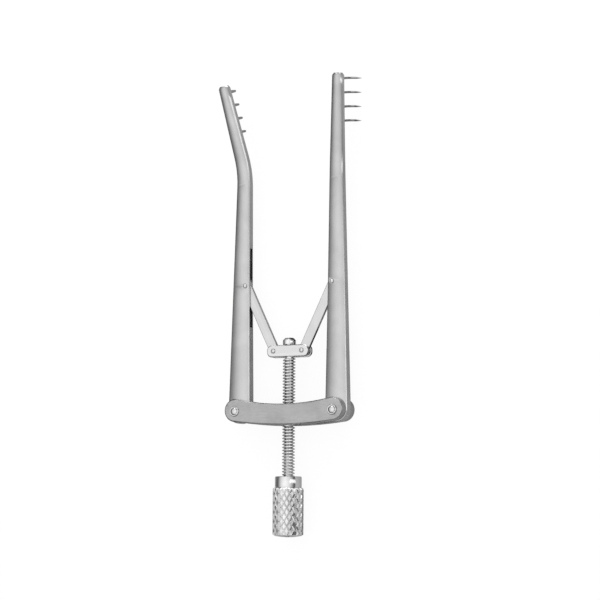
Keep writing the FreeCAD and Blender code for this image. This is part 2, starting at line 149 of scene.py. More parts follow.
def cut(spot: Sequence[float], across: Sequence[float], clear: bool = False) -> None:
    """Cuts the object in edit mode along a plane, and clears what lies past it if asked."""
    bpy.ops.mesh.select_all(action="SELECT")
    bpy.ops.mesh.bisect(plane_co=spot, plane_no=across, clear_outer=clear)


def settle(piece: bpy.types.Object, place: Matrix) -> bpy.types.Object:
    """Puts a piece's place into its mesh and leaves its object at the origin.

    Args:
        piece: The object to place.
        place: Where its own frame stands in the row frame.

    Returns:
        The same object.
    """
    piece.data.transform(place @ piece.matrix_world)
    piece.matrix_world = Matrix.Identity(4)
    return piece


def join(pieces: Sequence[bpy.types.Object], name: str) -> bpy.types.Object:
    """Joins several meshes into the first one.

    Args:
        pieces: The objects to join, all of them at the origin.
        name: The joined piece's name.

    Returns:
        The joined object.
    """
    only(pieces[0])
    for piece in pieces[1:]:
        piece.select_set(True)
    bpy.ops.object.join()
    return added(name)


def apply_modifiers(piece: bpy.types.Object) -> None:
    """Applies every modifier of a piece in order."""
    only(piece)
    for name in [modifier.name for modifier in piece.modifiers]:
        bpy.ops.object.modifier_apply(modifier=name)


def smooth(piece: bpy.types.Object, turn: float) -> None:
    """Shades a piece smooth, apart from edges that turn by more than so many degrees."""
    only(piece)
    bpy.ops.object.shade_smooth_by_angle(angle=math.radians(turn))


def soften(piece: bpy.types.Object, width: float) -> None:
    """Rounds the sharp edges of a piece a little and shades it smooth.

    Args:
        piece: The object to soften.
        width: Width of the rounding.
    """
    bevel = piece.modifiers.new("edge_break", "BEVEL")
    bevel.width = width
    bevel.segments = BEVEL_FACES
    bevel.limit_method = "ANGLE"
    bevel.angle_limit = math.radians(BEVEL_TURN)
    apply_modifiers(piece)
    smooth(piece, SMOOTH_TURN)
    even = piece.modifiers.new("even_normals", "WEIGHTED_NORMAL")
    even.weight = NORMAL_WEIGHT
    even.keep_sharp = True
    apply_modifiers(piece)


@dataclass(frozen=True)
class EdgeRoll:
    """A soft round over a chamfer: how far in it starts, and how far the chamfer's two edges drop."""

    inward: float
    upper_drop: float
    lower_drop: float


def roll_edges(piece: bpy.types.Object, roll: EdgeRoll) -> None:
    """Rolls the upper edges of a chamfered flat piece off into a soft round.

    Args:
        piece: The object to work on.
        roll: The sizes of the round.
    """
    with editing(piece):
        pick_faces(piece, lambda normal: normal.z > UPWARD)
        bpy.ops.mesh.inset(thickness=roll.inward)
        mesh = bmesh.from_edit_mesh(piece.data)
        inner = {vertex for face in mesh.faces if face.select for vertex in face.verts}
        ring = {face for vertex in inner for face in vertex.link_faces if not face.select}
        upper = {vertex for face in ring for vertex in face.verts} - inner
        near = {edge.other_vert(vertex) for vertex in upper for edge in vertex.link_edges
                if edge.calc_length() < CHAMFER_REACH}
        for edge_line, drop in ((upper, roll.upper_drop), (near - upper - inner, roll.lower_drop)):
            for vertex in edge_line:
                vertex.co.z -= drop
        bmesh.update_edit_mesh(piece.data)


def axis_place(origin: Vector, direction: Vector) -> Matrix:
    """Frame whose Z runs along a direction from a point.

    Args:
        origin: Where the frame stands.
        direction: Which way its Z runs.

    Returns:
        The frame as a matrix.
    """
    turn = Vector((0, 0, 1)).rotation_difference(direction).to_matrix().to_4x4()
    return Matrix.Translation(origin) @ turn


def draw_out(stations: Sequence[Station]) -> None:
    """Draws the selected faces out along Z from the first station to the last, scaled to each radius."""
    for before, after in zip(stations, stations[1:]):
        bpy.ops.mesh.extrude_region_move(TRANSFORM_OT_translate={"value": (0, 0, after.along - before.along)})
        share = after.radius / before.radius
        bpy.ops.transform.resize(value=(share, share, 1), center_override=(0, 0, after.along))


def turned(name: str, stations: Sequence[Station], place: Matrix, sides: int) -> bpy.types.Object:
    """Turns a closed piece: a filled ring is drawn out and scaled from station to station.

    Args:
        name: The piece's name.
        stations: The rings from one end to the other.
        place: Where the piece's Z axis stands.
        sides: Faces around the piece.

    Returns:
        The new object, in place.
    """
    first = stations[0]
    bpy.ops.mesh.primitive_circle_add(vertices=sides, radius=first.radius, fill_type="NGON",
                                      location=(0, 0, first.along))
    piece = added(name)
    settle(piece, Matrix.Identity(4))
    with editing(piece):
        bpy.ops.mesh.select_all(action="SELECT")
        draw_out(stations)
        face_outward()
    return settle(piece, place)


def worked_copy(node: str, name: str) -> bpy.types.Object:
    """Copies a CAD node's mesh, merges its loose triangles and clears the flat ones into whole faces.

    Args:
        node: The CAD node.
        name: The copy's name.

    Returns:
        The copy, at the origin.
    """
    piece = placed(name, frame["nodes"][node].data.copy())
    piece.data.materials.clear()
    with editing(piece):
        bpy.ops.mesh.select_all(action="SELECT")
        bpy.ops.mesh.remove_doubles(threshold=WELD)
        bpy.ops.mesh.customdata_custom_splitnormals_clear()
        bpy.ops.mesh.dissolve_limited(angle_limit=math.radians(FLAT_TURN))
        face_outward()
    return piece


def foot(node: str) -> Vector:
    """Middle of the lower face of a CAD node's box."""
    low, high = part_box(node)
    return Vector(((low.x + high.x) / 2, (low.y + high.y) / 2, low.z))


class NodeTree:
    """A node tree under construction, with short calls to add and join its nodes."""

    def __init__(self, tree: bpy.types.NodeTree) -> None:
        """Starts on an emptied tree."""
        self.tree = tree
        self.tree.nodes.clear()

    def add(self, kind: str, **settings: object) -> bpy.types.Node:
        """Adds a node and sets its properties.

        Args:
            kind: The node's type.
            settings: Properties of the node.

        Returns:
            The new node.
        """
        node = self.tree.nodes.new(kind)
        for key, value in settings.items():
            setattr(node, key, value)
        return node

    def link(self, source: bpy.types.NodeSocket, target: bpy.types.NodeSocket) -> None:
        """Joins an output to an input."""
        self.tree.links.new(source, target)

    def math(self, operation: str, first: bpy.types.NodeSocket, second: float) -> bpy.types.NodeSocket:
        """Works one sum on a varying value and a number.

        Args:
            operation: The sum's kind.
            first: The varying value.
            second: The number.

        Returns:
            The result's socket.
        """
        node = self.add("ShaderNodeMath", operation=operation)
        self.link(first, node.inputs[0])
        node.inputs[1].default_value = second
        return node.outputs[0]

    def spread(self, value: bpy.types.NodeSocket, span: Sequence[float],
               to: Sequence[float]) -> bpy.types.NodeSocket:
        """Maps a varying value from one span to another, held at both ends.

        Args:
            value: The varying value.
            span: Lowest and highest value that count.
            to: What they become.

        Returns:
            The result's socket.
        """
        node = self.add("ShaderNodeMapRange")
        self.link(value, node.inputs["Value"])
        for name, number in zip(("From Min", "From Max", "To Min", "To Max"), (*span, *to)):
            node.inputs[name].default_value = number
        return node.outputs["Result"]

    def add_up(self, values: Sequence[bpy.types.NodeSocket]) -> bpy.types.NodeSocket:
        """Adds several varying values.

        Args:
            values: The values to add.

        Returns:
            The sum's socket.
        """
        total = values[0]
        for value in values[1:]:
            node = self.add("ShaderNodeMath", operation="ADD")
            self.link(total, node.inputs[0])
            self.link(value, node.inputs[1])
            total = node.outputs[0]
        return total

    def noise(self, place: bpy.types.NodeSocket, **values: float) -> bpy.types.Node:
        """Adds a noise over a place, with values for its other inputs."""
        node = self.add("ShaderNodeTexNoise", noise_dimensions="3D")
        self.link(place, node.inputs["Vector"])
        for name, value in values.items():
            node.inputs[name].default_value = value
        return node

    def mix(self, share: bpy.types.NodeSocket, first: bpy.types.NodeSocket,
            second: bpy.types.NodeSocket) -> bpy.types.NodeSocket:
        """Mixes two shaders, with the second one's share given."""
        node = self.add("ShaderNodeMixShader")
        for source, target in zip((share, first, second), node.inputs):
            self.link(source, target)
        return node.outputs["Shader"]


def shader_group(name: str, inputs: Sequence[str], outputs: Sequence[str]) -> NodeTree:
    """Starts a shader node group with named sockets.

    Args:
        name: The group's name.
        inputs: Its inputs; one called Place is a vector, the others are numbers.
        outputs: Its outputs, all of them numbers that vary over the surface.

    Returns:
        The group's tree with its two end nodes in it.
    """
    tree = NodeTree(bpy.data.node_groups.new(name, "ShaderNodeTree"))
    for socket in inputs:
        kind = "NodeSocketVector" if socket == "Place" else "NodeSocketFloat"
        tree.tree.interface.new_socket(socket, in_out="INPUT", socket_type=kind)
    for socket in outputs:
        tree.tree.interface.new_socket(socket, in_out="OUTPUT", socket_type="NodeSocketFloat")
    tree.add("NodeGroupInput", name="Group Input")
    tree.add("NodeGroupOutput", name="Group Output")
    return tree


class SteelEffects:
    """The shader groups that every steel finish shares, built once."""

    STREAK_SPAN = (0.3, 0.7)
    FINE_SHARE = 0.45
    CLOUD_SPAN = (0.32, 0.68)
    POLISH_SPAN = (0.51, 0.58)
    # Span of pointiness over which hollows are darkened as painted shade.
    GROOVE_SHADE_SPAN = (0.46, 0.498)

    def __init__(self) -> None:
        """Builds the three groups."""
        self.grain = self.build_grain()
        self.clouds = self.build_clouds()
        self.edges = self.build_edges()

    def build_grain(self) -> bpy.types.NodeTree:
        """Builds the fine marks of brushing or turning: long soft streaks with finer ones among them.

        Returns:
            The group; Streak is the marks' depth from 0 to 1.
        """
        tree = shader_group("fine_marks", ["Place"], ["Streak"])
        ends = tree.tree.nodes
        place = ends["Group Input"].outputs["Place"]
        coarse = tree.noise(place, Scale=1.0, Detail=3.0)
        fine = tree.noise(place, Scale=2.7, Detail=2.0)
        both = tree.add("ShaderNodeMath", operation="MULTIPLY_ADD")
        tree.link(fine.outputs["Fac"], both.inputs[0])
        both.inputs[1].default_value = self.FINE_SHARE
        tree.link(tree.math("MULTIPLY", coarse.outputs["Fac"], 1 - self.FINE_SHARE), both.inputs[2])
        streak = tree.spread(both.outputs[0], self.STREAK_SPAN, (0, 1))
        tree.link(streak, ends["Group Output"].inputs["Streak"])
        return tree.tree

    def build_clouds(self) -> bpy.types.NodeTree:
        """Builds the soft patches that handling and cleaning leave.

        Returns:
            The group; Tone and Dull both run from 0 to 1, out of step with each other.
        """
        tree = shader_group("handling_clouds", ["Place", "Scale"], ["Tone", "Dull"])
        ends = tree.tree.nodes
        source = ends["Group Input"].outputs
        for output, warp in (("Tone", 0.6), ("Dull", 1.4)):
            noise = tree.noise(source["Place"], Detail=2.5, Distortion=warp)
            tree.link(source["Scale"], noise.inputs["Scale"])
            cloud = tree.spread(noise.outputs["Fac"], self.CLOUD_SPAN, (0, 1))
            tree.link(cloud, ends["Group Output"].inputs[output])
        return tree.tree

    def build_edges(self) -> bpy.types.NodeTree:
        """Builds masks of the edges that handling has polished and of the grooves, which are given painted
        shade.

        Returns:
            The group; Polish is 1 on outward edges, the groove shade is 1 in inward ones, and both are 0 on
            flats.
        """
        tree = shader_group("worn_edges_and_groove_shade", [], ["Polish", "GrooveShade"])
        ends = tree.tree.nodes["Group Output"].inputs
        sharpness = tree.add("ShaderNodeNewGeometry").outputs["Pointiness"]
        tree.link(tree.spread(sharpness, self.POLISH_SPAN, (0, 1)), ends["Polish"])
        # Painted shade: the groove mask darkens hollows, where shade falls.
        tree.link(tree.spread(sharpness, self.GROOVE_SHADE_SPAN, (1, 0)), ends["GrooveShade"])
        return tree.tree


@dataclass(frozen=True)
class SteelFinish:
    """One steel finish: its slot in the record, its colour and gloss, the marks on it and the painted shade
    in its grooves.
    """

    slot: str
    tone: float
    roughness: float
    grain: Grain
    grain_width: float = 0.09 * MM
    grain_length: float = 5.0 * MM
    grain_tone: float = 0.03
    grain_depth: float = 0.003 * MM
    cloud_size: float = 6.0 * MM
    cloud_tone: float = 0.04
    cloud_rough: float = 0.06
    edge_tone: float = 0.05
    edge_gloss: float = 0.08
    # How deep the painted shade in the grooves is.
    groove_shade: float = 0.1
    bump_strength: float = 0.6

    def stretch(self) -> tuple[float, float, float]:
        """Scale of the marks along X, Y and Z."""
        fine = 1 / self.grain_width
        long = 1 / self.grain_length
        return {
            Grain.ALONG: (fine, long, fine),
            Grain.ACROSS: (long, fine, fine),
            Grain.ROUND: (long, fine, long),
        }[self.grain]

    def build(self, effects: SteelEffects) -> bpy.types.Material:
        """Builds the material.

        Args:
            effects: The shared shader groups.

        Returns:
            The material, named after the slot.
        """
        material = bpy.data.materials.new(self.slot)
        material.use_nodes = True
        tree = NodeTree(material.node_tree)
        place = tree.add("ShaderNodeTexCoord").outputs["Object"]
        mapping = tree.add("ShaderNodeMapping")
        mapping.inputs["Scale"].default_value = self.stretch()
        tree.link(place, mapping.inputs["Vector"])
        grain = tree.add("ShaderNodeGroup", node_tree=effects.grain)
        tree.link(mapping.outputs["Vector"], grain.inputs["Place"])
        clouds = tree.add("ShaderNodeGroup", node_tree=effects.clouds)
        clouds.inputs["Scale"].default_value = 1 / self.cloud_size
        tree.link(place, clouds.inputs["Place"])
        edges = tree.add("ShaderNodeGroup", node_tree=effects.edges)
        shade = tree.add_up([
            tree.spread(grain.outputs["Streak"], (0, 1), (-self.grain_tone, self.grain_tone)),
            tree.spread(clouds.outputs["Tone"], (0, 1), (-self.cloud_tone, self.cloud_tone)),
            tree.spread(edges.outputs["Polish"], (0, 1), (0, self.edge_tone)),
            # Painted shade: the grooves are darkened by the groove value.
            tree.spread(edges.outputs["GrooveShade"], (0, 1), (0, -self.groove_shade)),
        ])
        colour = tree.add("ShaderNodeCombineColor")
        level = tree.math("ADD", shade, self.tone)
        for socket in ("Red", "Green", "Blue"):
            tree.link(level, colour.inputs[socket])
        gloss = tree.add_up([
            tree.spread(clouds.outputs["Dull"], (0, 1), (0, self.cloud_rough)),
            tree.spread(grain.outputs["Streak"], (0, 1), (0, self.cloud_rough / 2)),
            tree.spread(edges.outputs["Polish"], (0, 1), (0, -self.edge_gloss)),
        ])
        bump = tree.add("ShaderNodeBump")
        bump.inputs["Strength"].default_value = self.bump_strength
        bump.inputs["Distance"].default_value = self.grain_depth
        tree.link(grain.outputs["Streak"], bump.inputs["Height"])
        steel = tree.add("ShaderNodeBsdfPrincipled")
        steel.inputs["Metallic"].default_value = 1.0
        tree.link(colour.outputs["Color"], steel.inputs["Base Color"])
        tree.link(tree.math("ADD", gloss, self.roughness), steel.inputs["Roughness"])
        tree.link(bump.outputs["Normal"], steel.inputs["Normal"])
        tree.link(steel.outputs["BSDF"], tree.add("ShaderNodeOutputMaterial").inputs["Surface"])
        return material


# Each groove value below is painted shade in the hollows; it is deepest on the rivets, screw and knob.
FINISHES = (
    SteelFinish("arm_steel", tone=0.56, roughness=0.24, grain=Grain.ALONG, cloud_tone=0.035),
    SteelFinish("crossbar_steel", tone=0.46, roughness=0.30, grain=Grain.ACROSS, grain_width=0.2 * MM,
                grain_length=1.0 * MM, grain_tone=0.06),
    SteelFinish("link_steel", tone=0.72, roughness=0.24, grain=Grain.ALONG, cloud_tone=0.03),
    SteelFinish("yoke_steel", tone=0.78, roughness=0.22, grain=Grain.ACROSS, cloud_tone=0.03),
    # The hooks' dark tone is painted shade: it stands for the shade along the wires' lower side.
    SteelFinish("hook_steel", tone=0.36, roughness=0.12, grain=Grain.ALONG, grain_depth=0.001 * MM),
    SteelFinish("rivet_steel", tone=0.78, roughness=0.16, grain=Grain.ALONG, grain_length=0.5 * MM,
                groove_shade=0.75),
    SteelFinish("screw_steel", tone=0.9, roughness=0.1, grain=Grain.ROUND, grain_depth=0.001 * MM,
                cloud_tone=0.05, groove_shade=0.86),
    SteelFinish("knob_steel", tone=0.82, roughness=0.1, grain=Grain.ROUND, grain_depth=0.002 * MM,
                cloud_tone=0.05, groove_shade=0.8),
)


class Workshop:
    """Finishes by slot, and the last steps that every piece goes through."""

    def __init__(self) -> None:
        """Builds every finish."""
        effects = SteelEffects()
        self.steel = {finish.slot: finish.build(effects) for finish in FINISHES}
        self.slots = {part["node"]: part["material_slot"] for part in frame["record"]["subparts"]}

    def finish_piece(self, piece: bpy.types.Object, body: str, node: str) -> None:
        """Dresses a piece as the CAD node it stands for, lets it ride and hides that node.

        Args:
            piece: The finished piece.
            body: The CAD body it rides on.
            node: The CAD node it replaces.
        """
        slot = self.slots[node]
        piece.data.materials.clear()
        piece.data.materials.append(self.steel[slot])
        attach(piece, body)
        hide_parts(node)
        LOG.info("%s stands for %s on %s, %d faces", piece.name, node, body, len(piece.data.polygons))

    def soften_node(self, node: str, body: str, width: float, roll: EdgeRoll | None = None) -> None:
        """Sets a softened copy in the place of a flat CAD node.

        Args:
            node: The CAD node.
            body: The CAD body it rides on.
            width: Width of the rounding along its sharp edges.
            roll: The round over its upper edges, if it has one.
        """
        piece = worked_copy(node, f"{node}_softened")
        if roll:
            roll_edges(piece, roll)
        soften(piece, width)
        self.finish_piece(piece, body, node)


@dataclass
class Crossbar:
    """The two plates, the block between them and the rivets that carry the arms."""

    shop: Workshop
    edge: float = 0.05 * MM
    roll: EdgeRoll = EdgeRoll(0.24 * MM, 0.1 * MM, 0.22 * MM)
    peened_rim: float = 0.76 * MM
    rim_groove: float = 0.07 * MM
    crown: float = 0.26 * MM
    crown_shares: tuple[tuple[float, float], ...] = ((0.35, 0.93), (0.72, 0.72), (0.93, 0.42), (1.0, 0.12))
    rivet_sides: int = 48
    rivet_turn: float = 35.0

    def build(self) -> None:
        """Builds and dresses the crossbar's pieces."""
        for node, roll in (("front_crossbar", self.roll), ("rear_crossbar", None), ("nut_block", None)):
            self.shop.soften_node(node, "crossbar", self.edge, roll)
        for side in SIDES:
            self.rivet(f"bar_rivet_{side}", f"crossbar_rivet_{side}")

    def rivet(self, name: str, node: str) -> None:
        """Turns one rivet: flush below, with a peened middle and a low crown above.

        Args:
            name: The rivet's name.
            node: The CAD node it replaces.
        """
        low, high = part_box(node)
        head = (high.x - low.x) / 2
        top = high.z - low.z
        stations = [
            Station(0, head),
            Station(top, head),
            Station(top + self.rim_groove, head - self.rim_groove),
            Station(top + self.rim_groove, self.peened_rim + self.rim_groove),
            Station(top - self.rim_groove, self.peened_rim),
        ] + [Station(top + self.crown * up, self.peened_rim * out) for up, out in self.crown_shares]
        piece = turned(name, stations, Matrix.Translation(foot(node)), self.rivet_sides)
        smooth(piece, self.rivet_turn)
        self.shop.finish_piece(piece, "crossbar", node)


@dataclass
class HookWire:
    """The shape that all eight hooks share: a tapering shank, a quarter curl and a long point."""

    root_radius: float = 0.37 * MM
    radius: float = 0.27 * MM
    seat: float = 1.1 * MM
    flat_share: float = math.cos(math.pi / 8)
    curl: float = 2.04 * MM
    point: float = 1.27 * MM
    point_shares: tuple[float, ...] = (0.5, 0.35, 0.15)
    point_fall: float = 1.3
    tip_radius: float = 0.035 * MM
    sides: int = 20
    curl_steps: int = 14
    taper: float = 0.82
    smooth_turn: float = 40.0

    def build(self, length: float) -> bpy.types.Object:
        """Draws one hook out of a ring: down its seat and shank, round the curl and out to the point.

        Args:
            length: Straight length of the wire, from its root to the curl.

        Returns:
            The hook, its root at the origin, pointing down Z and curling towards X.
        """
        bpy.ops.mesh.primitive_circle_add(vertices=self.sides, radius=self.root_radius, fill_type="NGON")
        piece = added("hook_wire")
        share = self.radius / self.root_radius
        with editing(piece):
            bpy.ops.mesh.select_all(action="SELECT")
            bpy.ops.mesh.extrude_region_move(TRANSFORM_OT_translate={"value": (0, 0, -self.seat)})
            bpy.ops.mesh.extrude_region_move(TRANSFORM_OT_translate={"value": (0, 0, self.seat - length)})
            bpy.ops.transform.resize(value=(share, share, 1), center_override=(0, 0, -length))
            self.curl_round(length)
            for share in self.point_shares:
                self.draw_point(length, share)
            face_outward()
        smooth(piece, self.smooth_turn)
        return piece

    def curl_round(self, length: float) -> None:
        """Takes the selected end a quarter turn round the curl, a little thinner at each step.

        Args:
            length: Straight length of the wire before the curl.
        """
        step = math.pi / 2 / self.curl_steps
        centre = Vector((self.curl, 0, -length))
        thinner = self.taper ** (1 / self.curl_steps)
        for index in range(self.curl_steps):
            bpy.ops.mesh.extrude_region_move(TRANSFORM_OT_translate={"value": (0, 0, 0)})
            turn = Matrix.Rotation(-step, 3, "Y")
            piece = bpy.context.active_object
            mesh = bmesh.from_edit_mesh(piece.data)
            ring = [vertex for vertex in mesh.verts if vertex.select]
            bmesh.ops.rotate(mesh, verts=ring, cent=centre, matrix=turn)
            angle = (index + 1) * step
            place = centre + Vector((-math.cos(angle), 0, -math.sin(angle))) * self.curl
            bmesh.ops.scale(mesh, verts=ring, vec=(thinner,) * 3, space=Matrix.Translation(-place))
            bmesh.update_edit_mesh(piece.data)

    def draw_point(self, length: float, share: float) -> None:
        """Draws the selected end out along X and scales it towards the point.

        Args:
            length: Straight length of the wire before the curl.
            share: Share of the point's length to draw.
        """
        bpy.ops.mesh.extrude_region_move(TRANSFORM_OT_translate={"value": (self.point * share, 0, 0)})
        piece = bpy.context.active_object
        mesh = bmesh.from_edit_mesh(piece.data)
        ring = [vertex for vertex in mesh.verts if vertex.select]
        reach = (ring[0].co.x - self.curl) / self.point
        wide = self.radius * self.taper
        wanted = wide + (self.tip_radius - wide) * reach ** self.point_fall
        place = Vector((ring[0].co.x, 0, -length - self.curl))
        now = max((vertex.co - place).length for vertex in ring)
        bmesh.ops.scale(mesh, verts=ring, vec=(wanted / now,) * 3, space=Matrix.Translation(-place))
        bmesh.update_edit_mesh(piece.data)


@dataclass
class Arms:
    """The two arms with their hooks and the rivets that take the links."""

    shop: Workshop
    strip: float = 3.1 * MM
    lean: float = math.radians(-0.4)
    lift: float = math.radians(17.2)
    splay: float = math.radians(8.46)
    hook_count: int = 4
    wire: HookWire = field(default_factory=HookWire)

    def build(self) -> None:
        """Builds and dresses both arms."""
        rivet = DomedRivet(self.shop)
        for side in SIDES:
            node = f"{side}_arm"
            piece = worked_copy(node, f"{node}_crowned")
            self.crown(piece)
            self.shop.finish_piece(piece, node, node)
            rivet.build(f"arm_rivet_{side}", node)
        self.hooks()

    def crown(self, piece: bpy.types.Object) -> None:
        """Cuts an arm into even strips and shades it smooth, which makes its flats look slightly crowned.

        Args:
            piece: The arm's copy.
        """
        ends = [corner[1] for corner in piece.bound_box]
        start, length = min(ends), max(ends) - min(ends)
        count = round(length / self.strip)
        with editing(piece):
            for index in range(1, count):
                cut((0, start + length * index / count, 0), (0, 1, 0))
            self.mark_side_edges(piece)
        smooth(piece, SMOOTH_TURN)

    @staticmethod
    def mark_side_edges(piece: bpy.types.Object) -> None:
        """Marks the edges between the chamfers and the upright sides as sharp, so that the sides stay flat.

        Args:
            piece: The arm's copy in edit mode.
        """
        mesh = bmesh.from_edit_mesh(piece.data)
        for edge in mesh.edges:
            upright = [abs(face.normal.z) < UPRIGHT for face in edge.link_faces]
            edge.smooth = all(upright) or not any(upright)
        bmesh.update_edit_mesh(piece.data)

    def tip_frame(self, side: str) -> Matrix:
        """Frame of the far part of an arm, without its place: Y along it and X across it.

        Args:
            side: left or right.

        Returns:
            The frame's turn as a matrix.
        """
        flat = math.cos(self.lift)
        far = Vector((math.sin(self.splay) * flat, math.cos(self.splay) * flat, math.sin(self.lift)))
        bend = Vector((0, 1, 0)).rotation_difference(far).to_matrix().to_4x4()
        right = Matrix.Rotation(-self.lean, 4, "Z") @ bend
        if side == "right":
            return right
        return Matrix.Scale(-1, 4, (1, 0, 0)) @ right

    def hooks(self) -> None:
        """Models one hook and sets a copy of it in every place that has one."""
        pattern = None
        for side in SIDES:
            turn = self.tip_frame(side)
            for index in range(self.hook_count):
                node = f"{side}_hook_{index + 1}"
                points = [turn.inverted() @ vertex.co for vertex in frame["nodes"][node].data.vertices]
                low = Vector([min(point[axis] for point in points) for axis in range(3)])
                high = Vector([max(point[axis] for point in points) for axis in range(3)])
                across = (low.y + high.y) / 2
                root = Vector((low.x + self.wire.root_radius * self.wire.flat_share, across, high.z))
                length = high.z - low.z - self.wire.curl - self.wire.radius * self.wire.flat_share
                if pattern is None:
                    pattern = self.wire.build(length)
                piece = placed(f"{side}_hook_wire_{index + 1}", pattern.data.copy())
                settle(piece, turn @ Matrix.Translation(root))
                with editing(piece):
                    face_outward()
                self.shop.finish_piece(piece, f"{side}_arm", node)
        bpy.data.objects.remove(pattern)


@dataclass
class DomedRivet:
    """The small rivets of the linkage: a plain rod with a low peened dome at both ends."""

    shop: Workshop
    crown: float = 0.26 * MM
    head: float = 0.58 * MM
    sunk: float = 0.02 * MM
    rim_shares: tuple[tuple[float, float], ...] = ((0.3, 0.97), (0.0, 0.82))
    dome_share: float = 0.78
    dome_angles: tuple[float, ...] = (16, 30, 48, 66, 80)
    sides: int = 32
    smooth_turn: float = 40.0

    def build(self, node: str, body: str) -> None:
        """Turns one rivet, each dome's rim pressed a little into the face it sits on.

        Args:
            node: The CAD node that it replaces.
            body: The CAD body it rides on.
        """
        low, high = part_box(node)
        rod = (high.x - low.x) / 2
        height = high.z - low.z
        rings = [Station(-self.sunk, self.head)]
        rings += [Station(self.crown * up, self.head * out) for up, out in self.rim_shares]
        rings += [Station(self.crown * math.sin(angle), self.head * self.dome_share * math.cos(angle))
                  for angle in map(math.radians, self.dome_angles)]
        lower = [Station(-ring.along, ring.radius) for ring in reversed(rings)] + [Station(self.sunk, rod)]
        upper = [Station(height - self.sunk, rod)]
        upper += [Station(height + ring.along, ring.radius) for ring in rings]
        piece = turned(f"{node}_domed", lower + upper, Matrix.Translation(foot(node)), self.sides)
        smooth(piece, self.smooth_turn)
        self.shop.finish_piece(piece, body, node)


@dataclass
class Linkage:
    """The yoke, its two rivets and the two links."""

    shop: Workshop
    edge: float = 0.05 * MM
    roll: EdgeRoll = EdgeRoll(0.2 * MM, 0.07 * MM, 0.2 * MM)

    def build(self) -> None:
        """Builds and dresses the yoke and links."""
        self.shop.soften_node("yoke", "yoke", self.edge, self.roll)
        rivet = DomedRivet(self.shop)
        for side in SIDES:
            self.shop.soften_node(f"{side}_link", f"{side}_link", self.edge)
            rivet.build(f"yoke_rivet_{side}", "yoke")


